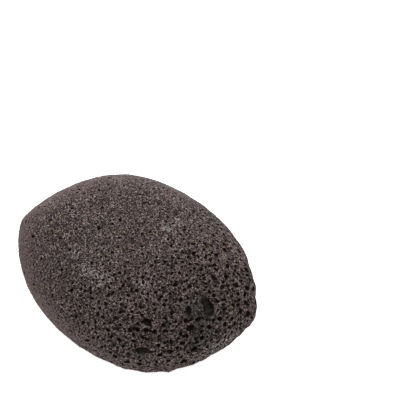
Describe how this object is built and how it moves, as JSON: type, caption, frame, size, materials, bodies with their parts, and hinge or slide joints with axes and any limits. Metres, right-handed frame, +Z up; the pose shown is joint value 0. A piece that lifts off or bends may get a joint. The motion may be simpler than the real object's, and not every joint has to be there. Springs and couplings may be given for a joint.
{
  "type": "pumice stone",
  "caption": "Hand-sized dark lava pumice stone, a pointed oval pillow pitted all over by gas pores, for rubbing skin; it rests on a flat underside.",
  "frame": {"origin": "middle of the flat underside, on the surface the stone rests on", "axes": "+X along the length to the end with the coarser pits, +Y across the width, +Z up"},
  "size_m": [0.1, 0.0766, 0.0431],
  "materials": {
    "pumice": "matte, dark brown-grey porous lava"
  },
  "bodies": {
    "root": {"pumice_stone": "pumice"}
  },
  "joints": []
}
